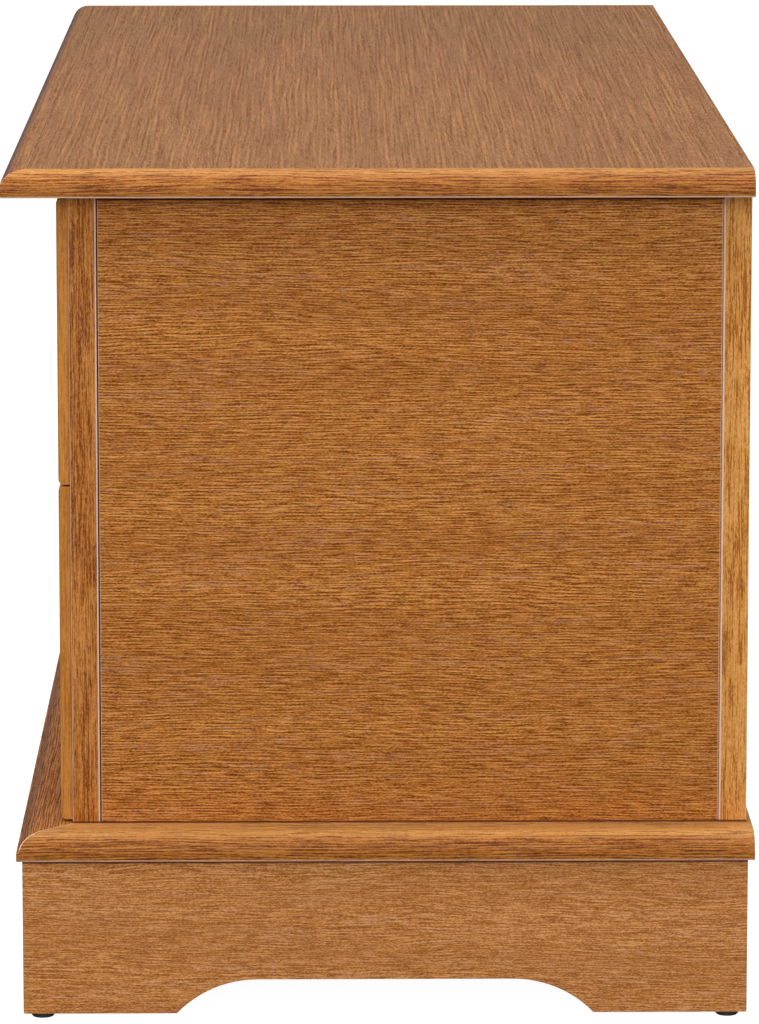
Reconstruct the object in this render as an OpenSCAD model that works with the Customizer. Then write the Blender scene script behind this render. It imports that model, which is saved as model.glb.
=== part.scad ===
// Media cabinet: a face-framed oak case with four drawers and an open equipment bay,
// between a moulded top and a moulded base board, on a plinth with arched boards.
// +Z is up, -Y is the front and +X the right-hand end. The origin is on the floor,
// at the centre of the outline. Millimetres.

/* [Case] */
// Length of the case over its end panels
case_w = 1140; // [950:1:1400]
// Depth of the case from the front of the face frame to the back
case_d = 462.5; // [385:0.5:560]
// Height of the case between the base board and the top
case_h = 436; // [380:1:530]
// Thickness of the end panels, partitions and shelf
board_t = 18; // [15:0.5:21]
// Thickness of the back panel
back_t = 6; // [4:0.5:8]
// Setback of the back panel from the back of the case
back_inset = 4; // [1:0.5:8]
// Width of the rear posts on the end faces
post_w = 19; // [16:0.5:24]
// Height of the shadow gap along the top of each end panel
shadow_h = 5; // [3:0.5:8]
// Depth of that shadow gap
shadow_d = 6; // [3:0.5:9]
// Height of the rail along the top of the back
rear_rail_h = 50; // [35:1:60]
// Size of the V-groove's chamfers beside the end panels
groove_c = 1.2; // [0.6:0.1:2]

/* [Face frame] */
// Thickness of the face frame
frame_t = 19; // [16:0.5:23]
// Width of the frame's stiles
stile_w = 25; // [20:0.5:32]
// Width of the rail under the top
top_rail_w = 30; // [25:0.5:38]
// Width of the rail over the base board
bottom_rail_w = 25; // [20:0.5:30]
// Width of the rails between the drawers
drawer_rail_w = 20; // [14:0.5:26]
// Width of the equipment bay between its stiles
bay_w = 450; // [375:1:560]

/* [Top] */
// Thickness of the top
top_t = 18; // [16:0.5:22]
// Overhang of the top past the case at both ends
top_over_end = 30; // [10:0.5:40]
// Overhang of the top past the face frame
top_over_front = 45.4; // [30:0.1:60]
// Width of the mitred edge strips of the top
top_strip_w = 19; // [18:0.5:50]
// Width of the round-over on the top's edge
top_round_w = 15.5; // [10:0.5:17]
// Height of that round-over
top_round_h = 13.5; // [8:0.5:15]

/* [Base board] */
// Thickness of the base board
base_t = 18; // [16:0.5:22]
// Overhang of the base board past the case at the front and ends
base_over = 37.3; // [30:0.1:45]
// Overhang of the base board past the back of the case
base_over_back = 3.5; // [0:0.5:8]
// Width of the mitred edge strips of the base board
base_strip_w = 70; // [60:1:90]
// Width of the ovolo on the base board's edge
ovolo_w = 16; // [8:0.5:18]
// Height of the ovolo
ovolo_h = 12; // [6:0.5:13]
// Projection of the square fillet under the ovolo
fillet_w = 1.5; // [0.5:0.1:3]

/* [Plinth] */
// Height of the plinth boards
plinth_h = 107.5; // [85:0.5:130]
// Thickness of the plinth boards
plinth_t = 18; // [15:0.5:22]
// Setback of the plinth from the base board's edge
plinth_inset = 3.9; // [2:0.1:8]
// Setback of the plinth from the back of the case
plinth_back_inset = 1; // [0:0.5:4]
// Distance from a board's end to its arch
foot_w = 105; // [80:1:130]
// Height of the arch
arch_h = 23.6; // [15:0.1:30]
// Length of the curve at each end of the arch
arch_run = 55; // [40:1:70]
// Side of the glue blocks in the plinth's corners
block_w = 32; // [25:1:40]
// Radius of the floor glides
glide_r = 8; // [6:0.5:10]
// Height of the floor glides
glide_h = 3.5; // [2.5:0.5:5]
// Distance of a glide's centre from the plinth's front or back face
glide_in_y = 13; // [10:0.5:20]

/* [Drawers] */
// Gap between the lower drawer front and the base board
front_gap_low = 1.8; // [1:0.1:4]
// Gap between the two drawer fronts
front_gap = 1.5; // [1:0.1:3]
// Gap between the upper drawer front and the top
front_gap_top = 4.7; // [2:0.1:8]
// Height of the lower drawer front
lower_front_h = 232; // [190:1:280]
// Distance from a drawer front's outer end to the end of the case
front_end_in = 4; // [2:0.5:8]
// Lap of a drawer front over the equipment bay's stile
front_lap = 15; // [8:0.5:18]
// Thickness of a drawer front's lip, which stands in front of the frame
lip_t = 8; // [7:0.1:11]
// Gap between that lip and the frame when a drawer is shut
lip_gap = 0.3; // [0.3:0.1:1]
// Thickness of the part of a front that enters the opening
plug_t = 10; // [7:0.5:12]
// Gap round that part in the opening
plug_gap = 2; // [1:0.5:3]
// Radius of the front's outer arris
arris_r = 3.5; // [1:0.5:5]
// Width of the raised border of a drawer front
border_w = 46; // [36:1:60]
// Depth of the panel inside that border
recess_d = 7; // [3:0.5:7.5]
// Thickness of the drawer sides and backs
box_t = 12; // [11:0.5:15]
// Thickness of the drawer bottoms
bottom_t = 6; // [4:0.5:8]
// Length of the drawer boxes
box_d = 400; // [330:1:405]
// Gap between a drawer box and the opening's sides
box_gap = 3; // [2:0.5:5]
// Gap between a drawer box and the opening's bottom
box_gap_low = 6; // [3:0.5:10]
// Gap between a drawer box and the opening's top
box_gap_top = 10; // [6:0.5:20]
// Height of the runners
runner_h = 12; // [9:0.5:15]
// Depth of the groove that a runner enters in the drawer side
runner_groove = 6; // [4:0.5:6.5]
// Running clearance between a runner and its groove
run_gap = 0.3; // [0.3:0.05:0.6]
// Depth of the groove that holds the drawer bottom
bottom_groove = 5; // [3:0.5:6]
// Height of a drawer bottom above the lower edge of its sides
bottom_up = 10; // [6:0.5:14]

/* [Knobs] */
// Radius of a knob's head
knob_r = 14; // [10:0.5:18]
// Height of a knob above the panel that it is screwed to
knob_h = 14; // [11:0.5:14.5]
// Radius of a knob's foot
knob_foot_r = 8; // [6:0.5:10]
// Radius of the knob's screw
screw_r = 2; // [1.5:0.1:2.5]

/* [Shelf and cable hole] */
// Height of the shelf's underside above the base board
shelf_up = 202; // [170:1:250]
// Gap between the shelf and the partitions
shelf_gap = 1; // [0.5:0.5:3]
// Setback of the shelf from the face frame's inner side
shelf_setback = 12; // [5:0.5:30]
// Gap between the shelf and the back panel
shelf_back_gap = 8; // [2:0.5:25]
// Distance of the shelf pins from the shelf's front and back edges
pin_in = 50; // [35:1:70]
// Radius of the shelf pins
pin_r = 2.5; // [2:0.1:3]
// Length of a shelf pin outside its hole
pin_out = 9; // [6:0.5:12]
// Depth of the shelf pin holes
pin_hole_d = 11; // [8:0.5:13]
// Spacing of the shelf pin holes
pin_pitch = 32; // [25:1:40]
// Height of the cable hole's centre above the base board
cable_up = 100; // [70:1:130]
// Radius of the cable hole in the back panel
cable_hole_r = 25; // [20:0.5:32]
// Wall of the grommet in the cable hole
grommet_wall = 3; // [2:0.5:4]
// Radius of the back panel's screws
back_screw_r = 1.75; // [1.5:0.05:2.2]
// Length of those screws in the wood behind the panel
back_screw_l = 14; // [10:0.5:18]
// Height of a partition's lowest screw above the base board
back_screw_up = 60; // [40:1:100]
// Distance of a partition's highest screw below the top
back_screw_down = 90; // [70:1:130]
// Distance of the rear rail's outermost screws from the rail's ends
rail_screw_in = 109; // [40:1:160]
// Clearance round screws, pins and the grommet in their holes
fit_gap = 0.1; // [0.05:0.05:0.2]

/* [Hidden] */
$fn = 48;
eps = 0.5; // how far a cut runs past the face it opens
arc_steps = 12; // facets of a moulding's or an arch's curve

SIDES = [["left", -1], ["right", 1]];
LEVELS = ["upper", "lower"];
DRAWER_PARTS = ["front", "knob", "side_left", "side_right", "back", "bottom"];
END_PARTS = ["top_edge", "base_edge", "plinth", "side_panel", "rear_post", "end_stile",
             "mid_stile", "drawer_rail", "partition"];
SINGLE_PARTS = ["top_panel", "top_edge_front", "base_panel", "base_edge_front", "plinth_front",
                "plinth_rear", "corner_blocks", "floor_glides", "top_rail", "bottom_rail",
                "rear_top_rail", "back_panel", "cable_grommet", "back_screws", "shelf",
                "shelf_pins", "drawer_runners"];

function drawer_name(level, side) = str("drawer_", level, "_", side[0]);

// Heights, from the floor up
z_plinth = glide_h;
z_base = z_plinth + plinth_h;
z_case = z_base + base_t;
z_top = z_case + case_h;

// Depths: the outline runs from the top's front edge to the base board's back edge
y_frame = -(case_d + base_over_back - top_over_front) / 2;
y_inside = y_frame + frame_t;
y_back = y_frame + case_d;
y_post = y_back - post_w;
y_back_panel = y_back - back_inset - back_t;
y_lip_back = y_frame - lip_gap;
y_lip = y_lip_back - lip_t;
y_top_front = y_frame - top_over_front;
y_base_front = y_frame - base_over;
y_base_back = y_back + base_over_back;
y_plinth = y_base_front + plinth_inset;
y_plinth_back = y_back - plinth_back_inset;

// Widths, from the middle out
x_bay = bay_w / 2;
x_partition = x_bay + board_t;
x_open_in = x_bay + stile_w;
x_case = case_w / 2;
x_open_out = x_case - stile_w;
x_panel = x_case - board_t;
x_top = x_case + top_over_end;
x_base = x_case + base_over;
x_plinth = x_base - plinth_inset;

// Drawer fronts and openings
z_split = z_case + front_gap_low + lower_front_h + front_gap / 2;
x_lip_in = x_open_in - front_lap;
x_lip_out = x_case - front_end_in;
x_front_mid = (x_lip_in + x_lip_out) / 2;
x_box_in = x_open_in + box_gap;
x_box_out = x_open_out - box_gap;
y_box = y_frame + plug_t;
y_recess = y_lip + recess_d;

function front_z0(level) = level == "upper" ? z_split + front_gap / 2 : z_case + front_gap_low;
function front_z1(level) = level == "upper" ? z_top - front_gap_top : z_split - front_gap / 2;
function open_z0(level) = level == "upper" ? z_split + drawer_rail_w / 2 : z_case + bottom_rail_w;
function open_z1(level) = level == "upper" ? z_top - top_rail_w : z_split - drawer_rail_w / 2;
function box_z0(level) = open_z0(level) + box_gap_low;
function box_z1(level) = open_z1(level) - box_gap_top;
function runner_z(level) = (box_z0(level) + box_z1(level)) / 2;
function front_mid_z(level) = (front_z0(level) + front_z1(level)) / 2;

// Shelf, pins and back fixings
y_shelf = y_inside + shelf_setback;
y_shelf_back = y_back_panel - shelf_back_gap;
z_shelf = z_case + shelf_up;
pin_ys = [y_shelf + pin_in, y_shelf_back - pin_in];
pin_steps = [-2, -1, 0, 1, 2];
back_screw_zs = [z_case + back_screw_up, z_case + case_h / 2, z_top - back_screw_down];
rail_screw_xs = [for (i = [-2:2]) i / 2 * (x_open_out - rail_screw_in)];

oak = [0.72, 0.48, 0.26];
oak_edge = [0.80, 0.57, 0.33];
oak_top = [0.66, 0.46, 0.32];
box_wood = [0.85, 0.74, 0.55];
back_wood = [0.62, 0.44, 0.28];
black = [0.08, 0.08, 0.08];
steel = [0.75, 0.75, 0.76];

// A box between two corners
module block(low, high) {
    translate(low) cube(high - low);
}

// Puts a right-hand piece at the end that side names
module at_end(side) {
    mirror([side[1] < 0 ? 1 : 0, 0, 0]) children();
}

// A quarter of an ellipse, convex outwards, from its high point to its outermost point
function quarter(x, y, w, h) =
    [for (i = [0:arc_steps]) [x + w * sin(90 * i / arc_steps), y + h * cos(90 * i / arc_steps)]];

// The top's edge strip, seen along its length: 0 at the inner edge, outwards along x
module top_profile() {
    ease = 1;
    polygon(concat(
        [[0, 0], [0, top_t]],
        quarter(top_strip_w - top_round_w, top_t - top_round_h, top_round_w, top_round_h),
        [[top_strip_w, ease], [top_strip_w - ease, 0]]));
}

// The base board's edge strip: a flat, an ovolo and a square fillet under it
module base_profile() {
    lower = base_t - ovolo_h;
    polygon(concat(
        [[0, 0], [0, base_t]],
        quarter(base_strip_w - fillet_w - ovolo_w, lower, ovolo_w, ovolo_h),
        [[base_strip_w, lower], [base_strip_w, 0]]));
}

// A strip along the right-hand end, its outer edge at x, from its front mitre to the back
module end_strip(x, z, width, thick, front, back) {
    intersection() {
        translate([x - width, back, z]) rotate([90, 0, 0]) linear_extrude(back - front) children();
        translate([0, 0, z]) linear_extrude(thick)
            polygon([[x, front], [x, back], [x - width, back], [x - width, front + width]]);
    }
}

// A strip along the front, mitred at both ends
module front_strip(x, z, width, thick, front) {
    intersection() {
        translate([-x, front + width, z]) rotate([90, 0, 90]) mirror([1, 0, 0])
            linear_extrude(2 * x) children();
        translate([0, 0, z]) linear_extrude(thick)
            polygon([[-x, front], [x, front], [x - width, front + width], [width - x, front + width]]);
    }
}

module top_panel() {
    color(oak_top)
        block([top_strip_w - x_top, y_top_front + top_strip_w, z_top],
              [x_top - top_strip_w, y_back, z_top + top_t]);
}

module top_edge_front() {
    color(oak_edge) front_strip(x_top, z_top, top_strip_w, top_t, y_top_front) top_profile();
}

module top_edge() {
    color(oak_edge) end_strip(x_top, z_top, top_strip_w, top_t, y_top_front, y_back) top_profile();
}

module base_panel() {
    color(oak)
        block([base_strip_w - x_base, y_base_front + base_strip_w, z_base],
              [x_base - base_strip_w, y_base_back, z_case]);
}

module base_edge_front() {
    color(oak_edge) front_strip(x_base, z_base, base_strip_w, base_t, y_base_front) base_profile();
}

module base_edge() {
    color(oak_edge)
        end_strip(x_base, z_base, base_strip_w, base_t, y_base_front, y_base_back) base_profile();
}

// The arc at one end of a plinth board's arch, from the arch's flat top at x down to the edge
function arch_arc(x, dir) =
    let (r = (arch_run * arch_run + arch_h * arch_h) / (2 * arch_h), turn = asin(arch_run / r))
        [for (i = [0:arc_steps])
            [x + dir * r * sin(turn * i / arc_steps), arch_h - r * (1 - cos(turn * i / arc_steps))]];

// A list in the opposite order
function reversed(list) = [for (i = [len(list) - 1:-1:0]) list[i]];

// An arched plinth board's face, standing on its lower edge
module plinth_face(length) {
    flat_start = foot_w + arch_run;
    polygon(concat([[0, plinth_h], [0, 0]], reversed(arch_arc(flat_start, -1)),
                   arch_arc(length - flat_start, 1), [[length, 0], [length, plinth_h]]));
}

module plinth_front() {
    color(oak) intersection() {
        translate([-x_plinth, y_plinth + plinth_t, z_plinth]) rotate([90, 0, 0])
            linear_extrude(plinth_t) plinth_face(2 * x_plinth);
        translate([0, 0, z_plinth]) linear_extrude(plinth_h)
            polygon([[-x_plinth, y_plinth], [x_plinth, y_plinth],
                     [x_plinth - plinth_t, y_plinth + plinth_t],
                     [plinth_t - x_plinth, y_plinth + plinth_t]]);
    }
}

module plinth_end() {
    color(oak) intersection() {
        translate([x_plinth - plinth_t, y_plinth, z_plinth]) rotate([90, 0, 90])
            linear_extrude(plinth_t) plinth_face(y_plinth_back - y_plinth);
        translate([0, 0, z_plinth]) linear_extrude(plinth_h)
            polygon([[x_plinth, y_plinth], [x_plinth, y_plinth_back],
                     [x_plinth - plinth_t, y_plinth_back],
                     [x_plinth - plinth_t, y_plinth + plinth_t]]);
    }
}

module plinth_rear() {
    color(oak)
        block([plinth_t - x_plinth, y_plinth_back - plinth_t, z_plinth],
              [x_plinth - plinth_t, y_plinth_back, z_base]);
}

module corner_blocks() {
    block_h = plinth_h - arch_h;
    color(box_wood)
        for (s = SIDES, y = [y_plinth + plinth_t, y_plinth_back - plinth_t - block_w])
            at_end(s) translate([x_plinth - plinth_t - block_w, y, z_base - block_h])
                cube([block_w, block_w, block_h]);
}

module floor_glides() {
    ease = 1;
    color(black)
        for (s = SIDES, y = [y_plinth + glide_in_y, y_plinth_back - glide_in_y])
            at_end(s) translate([x_plinth - plinth_t / 2, y, 0]) rotate_extrude()
                polygon([[0, 0], [glide_r - ease, 0], [glide_r, ease], [glide_r, glide_h], [0, glide_h]]);
}

// An end panel between stile and post, with a shadow gap along its top
module side_panel() {
    color(oak) difference() {
        translate([0, 0, z_case]) linear_extrude(case_h)
            polygon([[x_panel, y_inside], [x_case - groove_c, y_inside],
                     [x_case, y_inside + groove_c], [x_case, y_post - groove_c],
                     [x_case - groove_c, y_post], [x_panel, y_post]]);
        block([x_case - shadow_d, y_inside - eps, z_top - shadow_h],
              [x_case + eps, y_post + eps, z_top + eps]);
    }
}

module rear_post() {
    color(oak_edge) translate([0, 0, z_case]) linear_extrude(case_h)
        polygon([[x_open_out, y_post], [x_case - groove_c, y_post], [x_case, y_post + groove_c],
                 [x_case, y_back], [x_open_out, y_back]]);
}

module end_stile() {
    color(oak) translate([0, 0, z_case]) linear_extrude(case_h)
        polygon([[x_open_out, y_frame], [x_case, y_frame], [x_case, y_inside - groove_c],
                 [x_case - groove_c, y_inside], [x_open_out, y_inside]]);
}

module mid_stile() {
    color(oak)
        block([x_bay, y_frame, z_case + bottom_rail_w], [x_open_in, y_inside, z_top - top_rail_w]);
}

module drawer_rail() {
    color(oak)
        block([x_open_in, y_frame, z_split - drawer_rail_w / 2],
              [x_open_out, y_inside, z_split + drawer_rail_w / 2]);
}

module top_rail() {
    color(oak) block([-x_open_out, y_frame, z_top - top_rail_w], [x_open_out, y_inside, z_top]);
}

module bottom_rail() {
    color(oak) block([-x_open_out, y_frame, z_case], [x_open_out, y_inside, z_case + bottom_rail_w]);
}

module rear_rail_body() {
    block([-x_open_out, y_back_panel - board_t, z_top - rear_rail_h], [x_open_out, y_back_panel, z_top]);
}

module rear_top_rail() {
    color(oak) difference() {
        rear_rail_body();
        rail_screws(back_screw_r + fit_gap);
    }
}

// A partition beside the bay, with two rows of shelf pin holes
module partition() {
    color(oak) difference() {
        block([x_bay, y_inside, z_case], [x_partition, y_back_panel, z_top]);
        rear_rail_body();
        for (y = pin_ys, i = pin_steps)
            translate([x_bay - eps, y, z_shelf - pin_r + i * pin_pitch]) rotate([0, 90, 0])
                cylinder(r = pin_r + fit_gap, h = pin_hole_d + eps);
        partition_screws(back_screw_r + fit_gap);
    }
}

// Shanks of the screws into one partition, or the holes for them
module partition_screws(r) {
    for (z = back_screw_zs)
        translate([x_bay + board_t / 2, y_back_panel + back_t, z]) rotate([90, 0, 0])
            cylinder(r = r, h = back_t + back_screw_l);
}

// Shanks of the screws into the rear rail, or the holes for them
module rail_screws(r) {
    for (x = rail_screw_xs)
        translate([x, y_back_panel + back_t, z_top - rear_rail_h / 2])
            rotate([90, 0, 0]) cylinder(r = r, h = back_t + back_screw_l);
}

module back_panel() {
    color(back_wood) difference() {
        block([-x_open_out, y_back_panel, z_case], [x_open_out, y_back_panel + back_t, z_top]);
        translate([0, y_back_panel + back_t + eps, z_case + cable_up]) rotate([90, 0, 0])
            cylinder(r = cable_hole_r, h = back_t + 2 * eps);
        translate([0, eps, 0]) rail_screws(back_screw_r + fit_gap);
        for (s = SIDES) at_end(s) translate([0, eps, 0]) partition_screws(back_screw_r + fit_gap);
    }
}

module back_screws() {
    head_h = 2;
    color(steel) {
        rail_screws(back_screw_r);
        for (s = SIDES) at_end(s) partition_screws(back_screw_r);
        for (x = rail_screw_xs)
            translate([x, y_back_panel + back_t + head_h, z_top - rear_rail_h / 2])
                rotate([90, 0, 0]) cylinder(r = 2 * back_screw_r, h = head_h);
        for (s = SIDES, z = back_screw_zs)
            at_end(s) translate([x_bay + board_t / 2, y_back_panel + back_t + head_h, z])
                rotate([90, 0, 0]) cylinder(r = 2 * back_screw_r, h = head_h);
    }
}

// A flanged sleeve in the cable hole, its flange on the back panel's rear face
module cable_grommet() {
    flange_t = 2;
    flange_w = 5;
    inner_r = cable_hole_r - fit_gap - grommet_wall;
    color(black) translate([0, y_back_panel + back_t + flange_t, z_case + cable_up])
        rotate([90, 0, 0]) difference() {
            union() {
                cylinder(r = cable_hole_r - fit_gap, h = flange_t + back_t);
                cylinder(r = cable_hole_r + flange_w, h = flange_t);
            }
            translate([0, 0, -eps]) cylinder(r = inner_r, h = flange_t + back_t + 2 * eps);
        }
}

module shelf() {
    color(oak)
        block([shelf_gap - x_bay, y_shelf, z_shelf], [x_bay - shelf_gap, y_shelf_back, z_shelf + board_t]);
}

module shelf_pins() {
    color(steel)
        for (s = SIDES, y = pin_ys)
            at_end(s) translate([x_bay - pin_out, y, z_shelf - pin_r]) rotate([0, 90, 0])
                cylinder(r = pin_r, h = pin_out + pin_hole_d);
}

// A strip on each side of each drawer, in the groove of the drawer's side
module drawer_runners() {
    reach = runner_groove - run_gap;
    color(box_wood)
        for (s = SIDES, level = LEVELS) at_end(s) {
            z = runner_z(level) - runner_h / 2;
            block([x_partition, y_inside, z], [x_box_in + reach, y_box + box_d, z + runner_h]);
            block([x_box_out - reach, y_inside, z], [x_panel, y_box + box_d, z + runner_h]);
        }
}

// A rectangle with its two front corners rounded: x across, y from the front edge at 0 back
module eased(width, depth) {
    ease_r = min(arris_r, depth - 1);
    difference() {
        square([width, depth]);
        for (end = [0, 1]) translate([end * width, 0]) mirror([end, 0]) difference() {
            translate([-eps, -eps]) square(ease_r + eps);
            translate([ease_r, ease_r]) circle(ease_r);
        }
    }
}

// A lipped front: a bordered panel that laps the frame, and a part that enters the opening
module drawer_front(level) {
    w = x_lip_out - x_lip_in;
    h = front_z1(level) - front_z0(level);
    color(oak) difference() {
        union() {
            intersection() {
                translate([x_lip_in, y_lip, front_z0(level)]) linear_extrude(h) eased(w, lip_t);
                translate([x_lip_out, y_lip, front_z0(level)]) rotate([0, -90, 0]) linear_extrude(w)
                    eased(h, lip_t);
            }
            block([x_open_in + plug_gap, y_lip_back, open_z0(level) + plug_gap],
                  [x_open_out - plug_gap, y_box, open_z1(level) - plug_gap]);
        }
        block([x_lip_in + border_w, y_lip - eps, front_z0(level) + border_w],
              [x_lip_out - border_w, y_recess, front_z1(level) - border_w]);
        translate([x_front_mid, y_box + eps, front_mid_z(level)]) rotate([90, 0, 0])
            cylinder(r = screw_r + fit_gap, h = y_box - y_recess + 2 * eps);
    }
}

// A turned knob on the front's panel, with its screw from inside the drawer
module drawer_knob(level) {
    dome_h = 4;
    rim_h = 1;
    flare_h = 4;
    neck_in = 1.5;
    screw_in = 2;
    head_t = 2.5;
    z_dome = knob_h - dome_h;
    z_neck = z_dome - rim_h - flare_h;
    screw_l = y_box - y_recess + head_t;
    color(black) translate([x_front_mid, y_recess, front_mid_z(level)])
        rotate([90, 0, 0]) union() {
            rotate_extrude()
                polygon(concat([[0, 0], [knob_foot_r, 0], [knob_foot_r - neck_in, z_neck],
                                [knob_r, z_dome - rim_h]],
                               [for (i = [0:arc_steps])
                                   [knob_r * cos(90 * i / arc_steps),
                                    z_dome + dome_h * sin(90 * i / arc_steps)]]));
            translate([0, 0, -screw_l]) cylinder(r = screw_r, h = screw_l + screw_in);
            translate([0, 0, -screw_l]) cylinder(r = 2 * screw_r, h = head_t);
        }
}

// A side of a drawer box: x is its outer face, and inward is the way to its inner face
module drawer_side(level, x, inward) {
    z_mid = runner_z(level);
    x_in = x + inward * box_t;
    groove_h = runner_h + 2 * run_gap;
    z_bottom = box_z0(level) + bottom_up;
    color(box_wood) difference() {
        block([min(x, x_in), y_box, box_z0(level)], [max(x, x_in), y_box + box_d, box_z1(level)]);
        translate([x, y_box + box_d / 2, z_mid])
            cube([2 * runner_groove, box_d + 2 * eps, groove_h], center = true);
        translate([x_in, y_box + box_d / 2, z_bottom + bottom_t / 2])
            cube([2 * bottom_groove, box_d + 2 * eps, bottom_t], center = true);
    }
}

module drawer_back(level) {
    color(box_wood)
        block([x_box_in + box_t, y_box + box_d - box_t, box_z0(level) + bottom_up + bottom_t],
              [x_box_out - box_t, y_box + box_d, box_z1(level)]);
}

module drawer_bottom(level) {
    reach = box_t - bottom_groove;
    z = box_z0(level) + bottom_up;
    color(box_wood)
        block([x_box_in + reach, y_box, z], [x_box_out - reach, y_box + box_d, z + bottom_t]);
}

// The pieces of one right-hand drawer; the names of its sides swap when it is mirrored
module drawer_piece(part, level, side) {
    if (part == "front") drawer_front(level);
    if (part == "knob") drawer_knob(level);
    if (part == "back") drawer_back(level);
    if (part == "bottom") drawer_bottom(level);
    if (part == (side[1] > 0 ? "side_left" : "side_right")) drawer_side(level, x_box_in, 1);
    if (part == (side[1] > 0 ? "side_right" : "side_left")) drawer_side(level, x_box_out, -1);
}

top_panel();
top_edge_front();
base_panel();
base_edge_front();
plinth_front();
plinth_rear();
corner_blocks();
floor_glides();
top_rail();
bottom_rail();
rear_top_rail();
back_panel();
cable_grommet();
back_screws();
shelf();
shelf_pins();
drawer_runners();
for (s = SIDES) {
    at_end(s) top_edge();
    at_end(s) base_edge();
    at_end(s) plinth_end();
    at_end(s) side_panel();
    at_end(s) rear_post();
    at_end(s) end_stile();
    at_end(s) mid_stile();
    at_end(s) drawer_rail();
    at_end(s) partition();
}
for (level = LEVELS, s = SIDES, part = DRAWER_PARTS)
    at_end(s) drawer_piece(part, level, s);
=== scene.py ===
"""Looks for the oak media cabinet: lacquered oak on every board, framed drawer fronts, studio light."""

import math

import bmesh
import bpy
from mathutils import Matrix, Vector


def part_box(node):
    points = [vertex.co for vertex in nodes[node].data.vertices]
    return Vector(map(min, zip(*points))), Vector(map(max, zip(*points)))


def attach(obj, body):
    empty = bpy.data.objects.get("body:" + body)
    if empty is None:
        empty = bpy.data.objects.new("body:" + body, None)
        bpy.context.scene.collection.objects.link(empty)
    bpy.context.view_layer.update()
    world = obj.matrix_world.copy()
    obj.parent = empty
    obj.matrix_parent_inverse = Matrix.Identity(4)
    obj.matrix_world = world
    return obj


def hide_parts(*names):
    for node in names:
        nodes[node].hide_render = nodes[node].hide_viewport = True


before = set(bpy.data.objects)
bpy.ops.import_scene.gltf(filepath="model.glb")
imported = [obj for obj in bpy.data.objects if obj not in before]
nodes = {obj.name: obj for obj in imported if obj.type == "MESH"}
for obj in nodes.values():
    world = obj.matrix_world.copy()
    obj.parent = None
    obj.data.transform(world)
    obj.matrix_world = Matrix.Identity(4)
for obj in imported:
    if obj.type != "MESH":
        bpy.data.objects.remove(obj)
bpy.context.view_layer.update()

MM = 0.001
LEVELS = ("upper", "lower")
SIDES = ("left", "right")
DRAWERS = [f"drawer_{level}_{side}" for level in LEVELS for side in SIDES]


def srgb(r, g, b):
    """A shader colour from display values of 0 to 255."""
    return tuple(((c / 255 + 0.055) / 1.055) ** 2.4 for c in (r, g, b)) + (1.0,)


# ---------------------------------------------------------------- shader building


class Shader:
    """A material's node tree, with short calls for the nodes that the woods are made of."""

    def __init__(self, name):
        self.material = bpy.data.materials.new(name)
        self.material.use_nodes = True
        self.tree = self.material.node_tree
        self.bsdf = self.tree.nodes["Principled BSDF"]

    def add(self, kind, **settings):
        node = self.tree.nodes.new(kind)
        for key, value in settings.items():
            setattr(node, key, value)
        return node

    def link(self, source, target):
        self.tree.links.new(source, target)

    def feed(self, socket, value):
        """Sets a socket to a constant, or links it to another node's output."""
        if isinstance(value, bpy.types.NodeSocket):
            self.link(value, socket)
        else:
            socket.default_value = value

    def math(self, operation, a, b=0.0, clamp=False):
        node = self.add("ShaderNodeMath", operation=operation, use_clamp=clamp)
        self.feed(node.inputs[0], a)
        self.feed(node.inputs[1], b)
        return node.outputs[0]

    def noise(self, vector, detail):
        """Noise whose cells are one unit of vector wide; detail adds finer layers to it."""
        node = self.add("ShaderNodeTexNoise")
        self.link(vector, node.inputs["Vector"])
        node.inputs["Scale"].default_value = 1.0
        node.inputs["Detail"].default_value = detail
        return node.outputs["Fac"]

    def window(self, value, low, high, out_low=0.0, out_high=1.0):
        """Maps low..high to out_low..out_high smoothly, and holds the ends."""
        node = self.add("ShaderNodeMapRange", interpolation_type="SMOOTHSTEP")
        for socket, number in zip(node.inputs[1:5], (low, high, out_low, out_high)):
            socket.default_value = number
        self.link(value, node.inputs[0])
        return node.outputs[0]

    def product(self, a, b):
        return self.math("MULTIPLY", a, b)

    def mix(self, factor, a, b):
        """a at factor 0 and b at factor 1."""
        node = self.add("ShaderNodeMix", data_type="RGBA")
        self.feed(node.inputs[0], factor)
        self.feed(node.inputs[6], a)
        self.feed(node.inputs[7], b)
        return node.outputs[2]

    def bump(self, height, strength, distance):
        node = self.add("ShaderNodeBump")
        node.inputs["Strength"].default_value = strength
        node.inputs["Distance"].default_value = distance
        self.link(height, node.inputs["Height"])
        self.link(node.outputs[0], self.bsdf.inputs["Normal"])

    def surface(self, **values):
        for key, value in values.items():
            self.bsdf.inputs[key.replace("_", " ")].default_value = value


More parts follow.
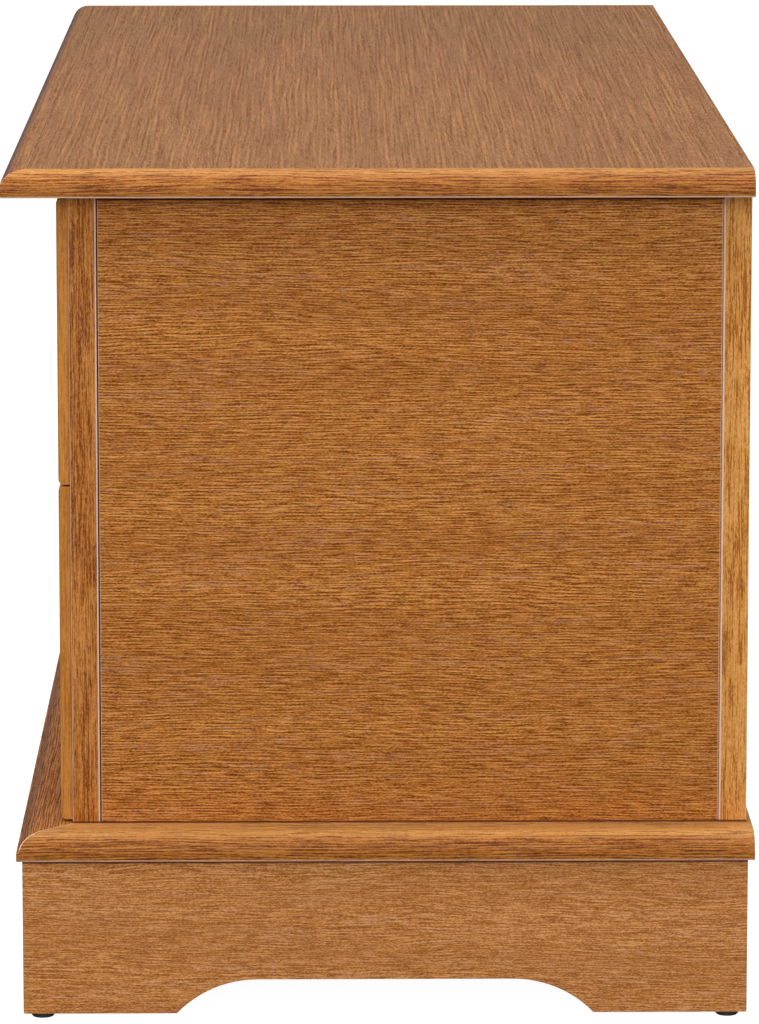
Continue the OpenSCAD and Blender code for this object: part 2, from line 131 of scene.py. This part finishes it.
# What every wood has unless its own entry says otherwise. Sizes are in metres.
#   streaks, flecks  how strongly light streaks and flecks show
#   length, pitch    length and distance apart of the dashes that the pores make
#   spacing          distance between the even pore lines
#   regular, broken  strengths of the even lines and of the dashes that break them up
#   patch            where flecks gather: a higher value makes fewer patches
#   grit             length, width and strength of the finest mottle
#   wave             how far the fibres wander
#   gloss, specular  roughness of the ground between the pores, and how much it reflects
GRAIN = dict(patch=0.50, grit=(0.0016, 0.0008, 0.3))
WOODS = {
    "panel": dict(
        GRAIN,
        pore=srgb(124, 60, 10), ground=srgb(190, 117, 44),
        streak=srgb(233, 161, 86), fleck=srgb(216, 166, 142),
        streaks=1.0, flecks=0.35, length=0.014, pitch=0.0009, spacing=0.002,
        regular=0.08, broken=0.72, wave=0.0018, gloss=0.45, specular=0.12,
        grit=(0.0016, 0.0008, 0.35),
    ),
    "top": dict(
        GRAIN,
        pore=srgb(116, 68, 24), ground=srgb(140, 88, 36),
        streak=srgb(186, 122, 62), fleck=srgb(206, 150, 104),
        streaks=0.85, flecks=0.45, length=0.15, pitch=0.0018, spacing=0.0042,
        regular=0.04, broken=0.6, wave=0.0009, gloss=0.42, specular=0.25,
        patch=0.34, grit=(0.012, 0.001, 0.45),
    ),
    "moulding": dict(
        GRAIN,
        pore=srgb(108, 48, 6), ground=srgb(170, 99, 28),
        streak=srgb(204, 134, 58), fleck=srgb(196, 142, 100),
        streaks=1.0, flecks=0.25, length=0.026, pitch=0.0009, spacing=0.0019,
        regular=0.08, broken=0.8, wave=0.0018, gloss=0.42, specular=0.16,
    ),
    "plinth": dict(
        GRAIN,
        pore=srgb(160, 94, 38), ground=srgb(202, 131, 66),
        streak=srgb(238, 171, 108), fleck=srgb(240, 190, 156),
        streaks=1.0, flecks=0.4, length=0.014, pitch=0.0008, spacing=0.0019,
        regular=0.05, broken=0.75, wave=0.003, gloss=0.46, specular=0.12,
        patch=0.48, grit=(0.0016, 0.0008, 0.5),
    ),
    "stile": dict(
        GRAIN,
        pore=srgb(134, 68, 18), ground=srgb(192, 118, 48),
        streak=srgb(222, 149, 78), fleck=srgb(212, 156, 130),
        streaks=0.9, flecks=0.25, length=0.024, pitch=0.0008, spacing=0.002,
        regular=0.07, broken=0.8, wave=0.0015, gloss=0.42, specular=0.12,
    ),
    "post": dict(
        GRAIN,
        pore=srgb(170, 98, 30), ground=srgb(229, 158, 76),
        streak=srgb(246, 182, 104), fleck=srgb(236, 184, 136),
        streaks=0.9, flecks=0.2, length=0.024, pitch=0.0009, spacing=0.0022,
        regular=0.06, broken=0.8, wave=0.0015, gloss=0.42, specular=0.12,
    ),
    "front": dict(
        GRAIN,
        pore=srgb(182, 112, 42), ground=srgb(210, 139, 59),
        streak=srgb(224, 155, 76), fleck=srgb(220, 166, 126),
        streaks=0.9, flecks=0.2, length=0.03, pitch=0.001, spacing=0.0026,
        regular=0.06, broken=0.8, wave=0.002, gloss=0.4, specular=0.16,
    ),
    "box": dict(
        GRAIN,
        pore=srgb(186, 148, 104), ground=srgb(216, 184, 138),
        streak=srgb(230, 204, 164), fleck=srgb(234, 212, 178),
        streaks=0.7, flecks=0.15, length=0.04, pitch=0.0016, spacing=0.004,
        regular=0.04, broken=0.9, wave=0.003, gloss=0.5, specular=0.25,
    ),
    "backing": dict(
        GRAIN,
        pore=srgb(118, 76, 44), ground=srgb(148, 102, 60),
        streak=srgb(170, 124, 82), fleck=srgb(176, 136, 100),
        streaks=0.7, flecks=0.15, length=0.04, pitch=0.0016, spacing=0.004,
        regular=0.04, broken=0.9, wave=0.003, gloss=0.6, specular=0.2,
    ),
}
PAINTED_HIGHLIGHT = srgb(255, 226, 200)  # painted highlight on a cut arris
PAINTED_LIGHT_ON_LEVEL = srgb(255, 194, 118)  # painted light: the level parts of the end mouldings made lighter, as if lit from above
PAINTED_SHADE = srgb(80, 46, 34)  # painted shade: the dark reflection on the sloping parts of the front mouldings
# painted shadow line: the dark in the grooves and along the joints at the top of the plinth and the foot of
# the case
PAINTED_SHADOW_LINE = srgb(84, 36, 26)

GRAIN_ORDER = {"X": (0, 1, 2), "Y": (1, 2, 0), "Z": (2, 0, 1)}  # the axes along, across and through the grain
SEED_ALONG, SEED_THROUGH = 7.3, 3.1  # how far a seed moves the grain, in cells of each noise
SLANT = 0.37  # cells that a fibre's noise starts further on than its neighbour's
MIDDLE = 0.5  # the middle of a noise's range

# Noises of one size on every wood: cell length and width in metres, and where in the noise they start.
DRIFT = (0.22, 0.045, 11.0)
RIPPLE = (0.016, 0.012, 23.0)
FLECK = (0.0060, 0.0010, 61.0)
PATCH = (0.070, 0.0045, 71.0)
TONE = (0.50, 0.030, 2.0)
BEND_START, LONG_START, SHORT_START, GRIT_START = 43.0, 31.0, 37.0, 83.0

WANDER_REACH, WOBBLE_REACH = 6, 0.25  # reach of the slow and the quick drift, for a wave of 1
BEND_LENGTH, BEND_WIDTH = 3.5, 1.8  # cells of the bend, for a length and a spacing of 1
BEND_REACH = 1.4  # how many spacings the even lines are bent by
SHORT_LENGTH, SHORT_WIDTH = 0.18, 0.92  # cells of the short dashes, for a length and a pitch of 1
LONG_SHARE, SHORT_SHARE = 0.65, 0.35
PORE_EDGE, STREAK_EDGE = (0.00, -0.12), (0.01, 0.14)  # where pores and streaks begin and are full
FLECK_EDGE, PATCH_FADE = (0.50, 0.62), 0.16
GRIT_SPAN = 0.15
TONE_EDGE, TONE_STRENGTH = (0.35, 0.65), 0.20
PORE_ROUGHNESS = 0.16  # how much rougher a pore is than the ground
PORE_BUMP, PORE_DEPTH = 0.18, 0.0003
FLAT_PLAIN = 0.55  # share of the pores and streaks that a level part loses under its painted light
REAR_CHAMFER = 0.3  # share of the groove's painted shade that a chamfer looking to the rear has
SHADOW_LINE_STRENGTH = 0.85

# Ranges of the vertical part of a face's direction: 1 looks straight up, 0 is upright, -1 looks straight down.
LEVEL_FACE = (0.70, 0.97)
SLOPING_FROM_LEVEL, SLOPING_FROM_UPRIGHT = (0.99, 0.75), (0.25, 0.45)
MITRE_FACE = (0.05, 0.25)
NOT_FROM_BELOW = (-0.95, -0.85)

case_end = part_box("end_stile_right")[1][0]
wood_cache = {}


class Board:
    """What a wood's material reads: its shader, the place on the board and the way the face looks."""

    def __init__(self, name, along, seed):
        self.shader = Shader(name)
        place = self.shader.add("ShaderNodeSeparateXYZ")
        self.shader.link(self.shader.add("ShaderNodeTexCoord").outputs["Object"], place.inputs[0])
        self.place = place.outputs
        self.along, self.across, self.through = (place.outputs[i] for i in GRAIN_ORDER[along])
        normal = self.shader.add("ShaderNodeSeparateXYZ")
        self.shader.link(self.shader.add("ShaderNodeNewGeometry").outputs["True Normal"], normal.inputs[0])
        self.normal = normal.outputs
        self.seed = seed

    def noise(self, cell, across, detail, slant=0.0):
        """Noise in cells of a length along the grain and a width across it, read at the given place across.

        A slant keeps the cells in neighbouring fibres from starting side by side.
        """
        s = self.shader
        length, width, start = cell
        joined = s.add("ShaderNodeCombineXYZ")
        fibre = s.math("DIVIDE", across, width)
        ahead = s.math("ADD", s.math("DIVIDE", self.along, length), start + SEED_ALONG * self.seed)
        if slant:
            ahead = s.math("ADD", ahead, s.product(fibre, slant))
        deep = s.math("ADD", s.math("DIVIDE", self.through, width), SEED_THROUGH * self.seed)
        for socket, value in zip(joined.inputs, (ahead, fibre, deep)):
            s.feed(socket, value)
        return s.noise(joined.outputs[0], detail)


def wandering_fibre(board, wave):
    """The place across the grain after the fibres have wandered by about wave metres."""
    s = board.shader
    drift = board.noise(DRIFT, board.across, 2.0)
    ripple = board.noise(RIPPLE, board.across, 1.0)
    wander = s.product(s.math("SUBTRACT", drift, MIDDLE), WANDER_REACH * wave)
    wobble = s.product(s.math("SUBTRACT", ripple, MIDDLE), WOBBLE_REACH * wave)
    return s.math("ADD", board.across, s.math("ADD", wander, wobble))


def pore_lines(board, spec, fibre):
    """Unevenly spaced pore lines, broken into long and short dashes, and the light streaks between them."""
    s = board.shader
    length, pitch, spacing = spec["length"], spec["pitch"], spec["spacing"]
    bend = board.noise((BEND_LENGTH * length, BEND_WIDTH * spacing, BEND_START), fibre, 1.0, SLANT)
    phase = s.math("ADD", s.math("DIVIDE", fibre, spacing), s.product(bend, BEND_REACH))
    ripples = s.math("SINE", s.product(phase, math.tau))
    long_lines = board.noise((length, pitch, LONG_START), fibre, 0.0, SLANT)
    short_cell = (SHORT_LENGTH * length, SHORT_WIDTH * pitch, SHORT_START)
    short_lines = board.noise(short_cell, fibre, 0.0, -SLANT)
    dashes = s.math("ADD", s.product(long_lines, LONG_SHARE), s.product(short_lines, SHORT_SHARE))
    dashes = s.product(s.math("SUBTRACT", dashes, MIDDLE), spec["broken"])
    lines = s.math("ADD", s.product(ripples, spec["regular"]), dashes)
    return s.window(lines, *PORE_EDGE), s.window(lines, *STREAK_EDGE)


def level_part(board, height, strength):
    """Where light is painted: how level a face is, where it lies within a few millimetres of a height or above
    it.
    """
    s = board.shader
    level = s.window(board.normal[2], *LEVEL_FACE, 0.0, strength)
    return s.product(level, s.window(board.place[2], height - 8 * MM, height - 5 * MM))


def add_flecks(board, spec, fibre, colour):
    s = board.shader
    fleck = board.noise(FLECK, fibre, 1.0, SLANT)
    patches = s.window(board.noise(PATCH, fibre, 2.0), spec["patch"], spec["patch"] + PATCH_FADE)
    flecks = s.product(s.window(fleck, *FLECK_EDGE), patches)
    return s.mix(s.product(flecks, spec["flecks"]), colour, spec["fleck"])


def add_grit_and_tone(board, spec, fibre, colour):
    """Fine grit from the short fibres, then broad, faint bands of tone."""
    s = board.shader
    length, width, strength = spec["grit"]
    grit = board.noise((length, width, GRIT_START), board.across, 1.0, SLANT)
    colour = s.mix(s.window(grit, MIDDLE, MIDDLE - GRIT_SPAN, 0.0, strength), colour, spec["pore"])
    colour = s.mix(s.window(grit, MIDDLE, MIDDLE + GRIT_SPAN, 0.0, strength), colour, spec["streak"])
    tone = board.noise(TONE, fibre, 3.0)
    return s.mix(s.window(tone, *TONE_EDGE, 0.0, TONE_STRENGTH), colour, spec["pore"])


def add_groove(board, colour, depth, pale, front_darker):
    """Chamfers that face two ways: a painted highlight out to depth metres below the case's end face, and
    painted shade beyond it.
    """
    s = board.shader
    both_ways = s.math("ABSOLUTE", s.product(board.normal[0], board.normal[1]))
    chamfer = s.window(both_ways, 0.25, 0.40)
    # The painted shade on an end panel's chamfer is full where it looks forward and weaker where it looks to
    # the rear.
    share = s.window(board.normal[1], 0.2, -0.2, REAR_CHAMFER, 1.0) if front_darker else 1.0
    sunk = s.math("SUBTRACT", case_end, s.math("ABSOLUTE", board.place[0]))
    dark = s.product(s.window(sunk, depth - 0.1 * MM, depth + 0.2 * MM), share)
    colour = s.mix(s.math("MULTIPLY", chamfer, s.math("SUBTRACT", pale, dark), clamp=True), colour, PAINTED_HIGHLIGHT)
    return s.mix(s.product(chamfer, dark), colour, PAINTED_SHADOW_LINE)


def add_shade(board, colour, strength):
    """Painted shade, standing for a dark reflection, on sloping faces, and none on level or upright ones."""
    s = board.shader
    sloping = s.window(board.normal[2], *SLOPING_FROM_LEVEL, 0.0, strength)
    sloping = s.product(sloping, s.window(board.normal[2], *SLOPING_FROM_UPRIGHT))
    return s.mix(sloping, colour, PAINTED_SHADE)


def add_mitre(board, colour, corner, strength):
    """A painted highlight along the mitres at the front corners, where |x| + y is corner."""
    s = board.shader
    off = s.math("SUBTRACT", s.math("ADD", s.math("ABSOLUTE", board.place[0]), board.place[1]), corner)
    line = s.window(s.math("ABSOLUTE", off), 0.5 * MM, 1.1 * MM, strength, 0.0)
    return s.mix(s.product(line, s.window(board.normal[2], *MITRE_FACE)), colour, PAINTED_HIGHLIGHT)


def add_lip(board, colour, height, strength):
    """A painted highlight on the arris just above a height, on faces that don't look straight down."""
    s = board.shader
    edge = s.window(board.place[2], height + 0.8 * MM, height + 1.3 * MM, strength, 0.0)
    edge = s.product(edge, s.window(board.normal[2], *NOT_FROM_BELOW))
    return s.mix(edge, colour, PAINTED_HIGHLIGHT)


def add_shadow_line(board, colour, height, width):
    """A painted shadow line round a height."""
    s = board.shader
    away = s.math("ABSOLUTE", s.math("SUBTRACT", board.place[2], height))
    return s.mix(s.window(away, 0.5 * width, width, SHADOW_LINE_STRENGTH, 0.0), colour, PAINTED_SHADOW_LINE)


def wood(kind, along, seed=0, groove=None, lip=None, flat=None, shadow_line=None, shade=0.0, mitre=None):
    """Lacquered wood with its grain along an axis, and the light and shade that its details paint on.

    The other details are pairs, in metres where they are places: groove is (depth, pale) for a painted
    highlight and shade, lip and flat are (height, strength) for a painted highlight and painted light,
    shadow_line is (height, width) for a painted shadow line, mitre is (|x| + y, strength) for a painted
    highlight, and shade is a strength.
    """
    key = (kind, along, seed, groove, lip, flat, shadow_line, shade, mitre)
    if key in wood_cache:
        return wood_cache[key]
    spec = WOODS[kind]
    board = Board(f"oak_{kind}_{along.lower()}_{seed}", along, seed)
    s = board.shader
    fibre = wandering_fibre(board, spec["wave"])
    pores, streaks = pore_lines(board, spec, fibre)
    ground = spec["ground"]
    # Painted light: a level face near the top of an end moulding gets a lighter ground and plainer grain.
    if flat:
        level = level_part(board, *flat)
        plainer = s.math("SUBTRACT", 1.0, s.product(level, FLAT_PLAIN))
        pores, streaks = s.product(pores, plainer), s.product(streaks, plainer)
        ground = s.mix(level, ground, PAINTED_LIGHT_ON_LEVEL)
    colour = s.mix(pores, ground, spec["pore"])
    colour = s.mix(s.product(streaks, spec["streaks"]), colour, spec["streak"])
    colour = add_flecks(board, spec, fibre, colour)
    colour = add_grit_and_tone(board, spec, fibre, colour)
    if groove:
        colour = add_groove(board, colour, *groove, front_darker=kind == "panel")
    if shade:
        colour = add_shade(board, colour, shade)
    if mitre:
        colour = add_mitre(board, colour, *mitre)
    if lip:
        colour = add_lip(board, colour, *lip)
    if shadow_line:
        colour = add_shadow_line(board, colour, *shadow_line)

    s.link(colour, s.bsdf.inputs["Base Color"])
    roughness = s.window(pores, 0.0, 1.0, spec["gloss"], spec["gloss"] + PORE_ROUGHNESS)
    s.link(roughness, s.bsdf.inputs["Roughness"])
    s.bump(s.math("SUBTRACT", 1.0, pores), PORE_BUMP, PORE_DEPTH)
    s.surface(Specular_IOR_Level=spec["specular"])
    wood_cache[key] = s.material
    return s.material


def plain(name, colour, roughness, metallic=0.0, grain=600.0, bump=0.12):
    """A moulded or painted finish: an even colour with a fine mottle in its tone, gloss and surface."""
    s = Shader(name)
    coords = s.add("ShaderNodeTexCoord").outputs["Object"]
    scaled = s.add("ShaderNodeVectorMath", operation="SCALE")
    s.link(coords, scaled.inputs[0])
    scaled.inputs["Scale"].default_value = grain
    mottle = s.noise(scaled.outputs[0], detail=3.0)
    lighter = tuple(min(1.0, 1.35 * c + 0.01) for c in colour[:3]) + (1.0,)
    s.link(s.mix(s.window(mottle, 0.3, 0.7), colour, lighter), s.bsdf.inputs["Base Color"])
    s.link(s.window(mottle, 0.2, 0.8, roughness - 0.06, roughness + 0.08), s.bsdf.inputs["Roughness"])
    s.bump(mottle, bump, 0.0002)
    s.surface(Metallic=metallic)
    return s.material


# ---------------------------------------------------------------- CAD boards


def soften(piece, material, bevel):
    """Gives a piece its finish, smooth shading on its curves, and a small arris of bevel millimetres."""
    mesh = piece.data
    if "custom_normal" in mesh.attributes:
        mesh.attributes.remove(mesh.attributes["custom_normal"])
    mesh.shade_smooth()
    mesh.materials.clear()
    mesh.materials.append(material)
    weld = piece.modifiers.new("Weld", "WELD")
    weld.merge_threshold = 0.00001
    arris = piece.modifiers.new("Arris", "BEVEL")
    arris.width = bevel * MM
    arris.segments = 2
    arris.limit_method = "ANGLE"
    arris.angle_limit = math.radians(28)
    arris.harden_normals = True


def dress(name, material, bevel=0.5):
    soften(nodes[name], material, bevel)


# Heights of the top's and the base board's faces, and |x| + y along the mitres at their front corners.
top_low, top_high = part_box("top_panel")[0][2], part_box("top_panel")[1][2]
base_low, case_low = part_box("base_panel")[0][2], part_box("base_panel")[1][2]
top_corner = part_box("top_edge_right")[1][0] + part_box("top_edge_front")[0][1]
base_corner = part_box("base_edge_right")[1][0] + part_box("base_edge_front")[0][1]
# Painted shadow lines at the top of the plinth under the base moulding, and at the foot of the case's ends.
plinth_shadow_line = (base_low, 0.0030)
case_shadow_line = (case_low, 0.0018)

dress("top_panel", wood("top", "X"), 0.15)
# The front mouldings get painted shade on their sloping faces.
dress("top_edge_front", wood("top", "X", 1, lip=(top_low, 0.9), shade=0.8))
dress("base_panel", wood("panel", "X", 2), 0.3)
dress("base_edge_front", wood("moulding", "X", 3, lip=(base_low, 0.3), shade=0.45))
dress("plinth_front", wood("plinth", "X", 4, shadow_line=plinth_shadow_line))
dress("plinth_rear", wood("plinth", "X", 5))
dress("top_rail", wood("stile", "X", 6))
dress("bottom_rail", wood("stile", "X", 7))
dress("rear_top_rail", wood("stile", "X", 8))
dress("shelf", wood("panel", "X", 9), 0.8)
dress("corner_blocks", wood("box", "Z", 10), 0.8)
dress("drawer_runners", wood("box", "Y", 11), 0.4)
dress("back_panel", wood("backing", "Z", 12), 0.2)
for i, side in enumerate(SIDES):
    # The end mouldings get painted highlights on the lip and the mitre, and painted light on their level
    # parts.
    top_marks = dict(lip=(top_low, 0.9), flat=(top_high, 0.5), mitre=(top_corner, 0.3))
    base_marks = dict(lip=(base_low, 0.3), flat=(case_low, 0.72), mitre=(base_corner, 0.7))
    dress(f"top_edge_{side}", wood("moulding", "Y", 20 + i, **top_marks))
    dress(f"base_edge_{side}", wood("moulding", "Y", 22 + i, **base_marks))
    dress(f"plinth_{side}", wood("plinth", "Y", 24 + i, shadow_line=plinth_shadow_line))
    dress(f"side_panel_{side}", wood("panel", "Y", 26 + i, groove=(0.0004, 0.5), shadow_line=case_shadow_line), 0.15)
    dress(f"rear_post_{side}", wood("post", "Z", 28 + i, groove=(0.0012, 0.9), shadow_line=case_shadow_line), 0.3)
    dress(f"end_stile_{side}", wood("stile", "Z", 30 + i, groove=(0.0009, 1.0), shadow_line=case_shadow_line), 0.3)
    dress(f"mid_stile_{side}", wood("stile", "Z", 32 + i))
    dress(f"drawer_rail_{side}", wood("stile", "X", 34 + i))
    dress(f"partition_{side}", wood("panel", "Z", 36 + i), 0.3)

black_plastic = plain("black_plastic", srgb(38, 38, 40), 0.45)
steel = plain("zinc_steel", srgb(176, 178, 180), 0.32, metallic=1.0, grain=900.0, bump=0.05)
bronze = plain("dark_bronze", srgb(74, 56, 42), 0.34, metallic=0.85, grain=500.0, bump=0.08)
dress("floor_glides", black_plastic, 0.6)
dress("cable_grommet", black_plastic, 0.6)
dress("back_screws", steel, 0.3)
dress("shelf_pins", steel, 0.4)

for i, drawer in enumerate(DRAWERS):
    dress(f"{drawer}_knob", bronze, 0.3)
    for part in ("side_left", "side_right"):
        dress(f"{drawer}_{part}", wood("box", "Y", 50 + i), 0.6)
    dress(f"{drawer}_back", wood("box", "X", 54 + i), 0.6)
    dress(f"{drawer}_bottom", wood("box", "X", 58 + i), 0.3)

# ---------------------------------------------------------------- drawer fronts

# One front, in millimetres: u is measured inwards from its outer edge and depth back from its face.
BORDER = 46.0  # width of the frame round the panel
ARRIS = 3.5  # radius of the frame's outer arris
LIP = 8.0  # thickness of the frame
ARC_STEPS = 6
FLAT_END = 37.0  # where the frame's flat face ends and steps down to the ovolo
STEP_SLOPE, STEP_DEPTH = 0.4, 0.9  # width and depth of that step
OVOLO_START = 38.4
OVOLO_WIDTH, OVOLO_DEPTH = 7.6, 6.1
REBATE = 38.0  # where the frame's tongue enters the plug
TONGUE = 10.4  # depth that the tongue reaches
POCKET = 10.5  # depth of the plug's pocket
TONGUE_FIT = 0.1  # gap round the tongue
PANEL_FIT = 0.05  # gap behind the panel
PANEL_EDGE = 10.0  # depth of the panel's edge
RAISE = 24.0  # width of the slope round the field
FIELD = 7.0  # depth of the panel's raised field, which the knob is screwed to
FIELD_STEP, FIELD_ARRIS = 0.9, 0.6  # height and width of the step up to the field
PLUG_GAP = 2.0  # between the plug and the face frame


def frame_profile():
    """The frame member's section: outer arris, flat, step and ovolo down to the panel, tongue."""
    turns = [math.pi / 2 * k / ARC_STEPS for k in range(ARC_STEPS + 1)]
    points = [(0.0, LIP)]
    points += [(ARRIS * (1 - math.cos(turn)), ARRIS * (1 - math.sin(turn))) for turn in turns]
    points += [(FLAT_END, 0.0), (FLAT_END + STEP_SLOPE, STEP_DEPTH), (OVOLO_START, STEP_DEPTH)]
    for turn in turns[1:]:
        u = OVOLO_START + OVOLO_WIDTH * math.sin(turn)
        points.append((u, STEP_DEPTH + OVOLO_DEPTH * (1 - math.cos(turn))))
    points += [(BORDER, TONGUE), (REBATE, TONGUE), (REBATE, LIP)]
    return points


def front_corners(box, u):
    """The four corners of the outline of a front, inset by u, counter-clockwise from lower left."""
    (x0, _, z0), (x1, _, z1) = box
    u *= MM
    return [(x0 + u, z0 + u), (x1 - u, z0 + u), (x1 - u, z1 - u), (x0 + u, z1 - u)]


def new_piece(name, shape, material, bevel, drawer):
    """One piece of a drawer's front, from its (vertices, faces); it moves with the drawer."""
    vertices, faces = shape
    mesh = bpy.data.meshes.new(name)
    mesh.from_pydata(vertices, [], faces)
    mesh.validate()
    solid = bmesh.new()
    solid.from_mesh(mesh)
    bmesh.ops.recalc_face_normals(solid, faces=solid.faces)
    solid.to_mesh(mesh)
    solid.free()
    piece = bpy.data.objects.new(name, mesh)
    bpy.context.scene.collection.objects.link(piece)
    soften(piece, material, bevel)
    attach(piece, drawer)
    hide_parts(f"{drawer}_front")


def mitred_members(box, face_y, sides):
    """Closed meshes for the chosen sides of the frame: 0 lower, 1 right, 2 upper, 3 left."""
    profile = frame_profile()
    vertices, faces = [], []
    count = len(profile)
    for side in sides:
        start = len(vertices)
        for end in (side, (side + 1) % 4):
            for u, depth in profile:
                x, z = front_corners(box, u)[end]
                vertices.append((x, face_y + depth * MM, z))
        for k in range(count):
            nxt = (k + 1) % count
            faces.append((start + k, start + nxt, start + count + nxt, start + count + k))
        faces.append(tuple(range(start, start + count)))
        faces.append(tuple(range(start + 2 * count - 1, start + count - 1, -1)))
    return vertices, faces


def stacked_rings(box, face_y, rings):
    """A closed mesh through rectangles given as (u, depth), from one side of the piece to the other."""
    vertices, faces = [], []
    for u, depth in rings:
        vertices += [(x, face_y + depth * MM, z) for x, z in front_corners(box, u)]
    for level in range(len(rings) - 1):
        for k in range(4):
            a, b = 4 * level + k, 4 * level + (k + 1) % 4
            faces.append((a, b, b + 4, a + 4))
    last = 4 * (len(rings) - 1)
    faces.append((0, 1, 2, 3))
    faces.append((last + 3, last + 2, last + 1, last))
    return vertices, faces


def plug_mesh(plug, box, face_y, back_y):
    """The block behind the frame, with the pocket that takes the panel and the frame's tongue."""
    (px0, pz0), (px1, pz1) = plug
    lip_y = face_y + LIP * MM
    floor_y = face_y + POCKET * MM
    outline = [(px0, pz0), (px1, pz0), (px1, pz1), (px0, pz1)]
    pocket = front_corners(box, REBATE - TONGUE_FIT)
    vertices = [(x, back_y, z) for x, z in outline]
    vertices += [(x, lip_y, z) for x, z in outline]
    vertices += [(x, lip_y, z) for x, z in pocket]
    vertices += [(x, floor_y, z) for x, z in pocket]
    faces = [(0, 1, 2, 3), (15, 14, 13, 12)]
    for ring in range(3):
        for k in range(4):
            a, b = 4 * ring + k, 4 * ring + (k + 1) % 4
            faces.append((a, b, b + 4, a + 4))
    return vertices, faces


def build_front(drawer, seed):
    """A drawer's front: two stiles, two rails, the raised panel and the plug that fills the opening."""
    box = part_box(f"{drawer}_front")
    face_y, back_y = box[0][1], box[1][1]
    level, side = drawer.split("_")[1:]
    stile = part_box(f"end_stile_{side}")
    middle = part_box(f"mid_stile_{side}")
    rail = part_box(f"drawer_rail_{side}")
    gap = PLUG_GAP * MM
    if side == "right":
        px0, px1 = middle[1][0] + gap, stile[0][0] - gap
    else:
        px0, px1 = stile[1][0] + gap, middle[0][0] - gap
    if level == "upper":
        pz0, pz1 = rail[1][2] + gap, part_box("top_rail")[0][2] - gap
    else:
        pz0, pz1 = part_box("bottom_rail")[1][2] + gap, rail[0][2] - gap
    name = f"{drawer}_front"
    stiles = mitred_members(box, face_y, (1, 3))
    new_piece(f"{name}_stiles", stiles, wood("front", "Z", seed), 0.2, drawer)
    rails = mitred_members(box, face_y, (0, 2))
    new_piece(f"{name}_rails", rails, wood("front", "X", seed + 1), 0.2, drawer)
    rings = [
        (BORDER, POCKET - PANEL_FIT),
        (BORDER, PANEL_EDGE),
        (BORDER + RAISE, FIELD + FIELD_STEP),
        (BORDER + RAISE + FIELD_ARRIS, FIELD),
    ]
    new_piece(f"{name}_panel", stacked_rings(box, face_y, rings), wood("front", "X", seed + 2), 0.15, drawer)
    plug = plug_mesh(((px0, pz0), (px1, pz1)), box, face_y, back_y)
    new_piece(f"{name}_plug", plug, wood("stile", "X", seed + 3), 0.4, drawer)


for i, drawer in enumerate(DRAWERS):
    build_front(drawer, 60 + 4 * i)

# ---------------------------------------------------------------- floor, light and camera

FLOOR_HALF = 40.0
FLOOR_GLOW = 0.97  # how white the camera sees the floor
ROOM_LIGHT = 0.34  # how strongly the surroundings light the cabinet

# Name, place, target, size (all in metres) and watts.
LIGHTS = (
    ("overhead", (0.8, -0.1, 3.2), (0.0, 0.0, 0.3), (3.0, 3.0), 85.0),
    ("end_fill", (4.8, -0.3, 1.8), (0.5, 0.0, 0.3), (2.5, 1.6), 72.0),
    ("front_fill", (-0.5, -4.2, 2.2), (0.0, 0.0, 0.3), (2.4, 1.6), 24.0),
)


def make_floor():
    corners = [(x * FLOOR_HALF, y * FLOOR_HALF, 0) for x, y in ((-1, -1), (1, -1), (1, 1), (-1, 1))]
    mesh = bpy.data.meshes.new("floor")
    mesh.from_pydata(corners, [], [(0, 1, 2, 3)])
    floor = bpy.data.objects.new("floor", mesh)
    bpy.context.scene.collection.objects.link(floor)
    s = Shader("floor_white")
    s.surface(Base_Color=(0.3, 0.3, 0.3, 1.0), Roughness=0.9, Specular_IOR_Level=0.0)
    s.surface(Emission_Color=(1.0, 1.0, 1.0, 1.0))
    # The floor glows only to the camera, so that it shows white and lights nothing from below.
    seen = s.add("ShaderNodeLightPath").outputs["Is Camera Ray"]
    s.link(s.product(seen, FLOOR_GLOW), s.bsdf.inputs["Emission Strength"])
    mesh.materials.append(s.material)


def area_light(name, place, target, size, watts):
    data = bpy.data.lights.new(name, "AREA")
    data.shape = "RECTANGLE"
    data.size, data.size_y = size
    data.energy = watts
    lamp = bpy.data.objects.new(name, data)
    lamp.location = place
    aim = Vector(target) - Vector(place)
    lamp.rotation_euler = aim.to_track_quat("-Z", "Y").to_euler()
    bpy.context.scene.collection.objects.link(lamp)


def make_world():
    """White where the camera sees it; a dimmer even light for everything else."""
    world = bpy.data.worlds.new("studio")
    world.use_nodes = True
    bpy.context.scene.world = world
    tree = world.node_tree
    background = tree.nodes["Background"]
    background.inputs["Strength"].default_value = ROOM_LIGHT
    white = tree.nodes.new("ShaderNodeBackground")
    white.inputs["Strength"].default_value = 1.0
    for node in (background, white):
        node.inputs["Color"].default_value = (1.0, 1.0, 1.0, 1.0)
    rays = tree.nodes.new("ShaderNodeLightPath")
    mixed = tree.nodes.new("ShaderNodeMixShader")
    tree.links.new(rays.outputs["Is Camera Ray"], mixed.inputs[0])
    tree.links.new(background.outputs[0], mixed.inputs[1])
    tree.links.new(white.outputs[0], mixed.inputs[2])
    tree.links.new(mixed.outputs[0], tree.nodes["World Output"].inputs["Surface"])


def make_camera():
    """The camera at the height and angle from which the right-hand end fills the picture."""
    pitch = math.radians(8.94)
    yaw = math.radians(0.621)
    data = bpy.data.cameras.new("camera")
    data.lens = 199.3
    data.sensor_width = 36.0
    data.shift_y = -0.15
    data.clip_end = 200.0
    camera = bpy.data.objects.new("camera", data)
    camera.location = (4.367, -0.041, 1.049)
    # At zero yaw the camera looks along -X; a positive yaw turns it towards +Y.
    camera.rotation_euler = (math.pi / 2 - pitch, 0.0, math.pi / 2 - yaw)
    bpy.context.scene.collection.objects.link(camera)
    bpy.context.scene.camera = camera


make_floor()
make_world()
make_camera()
for light in LIGHTS:
    area_light(*light)

bpy.context.scene.view_settings.view_transform = "Standard"
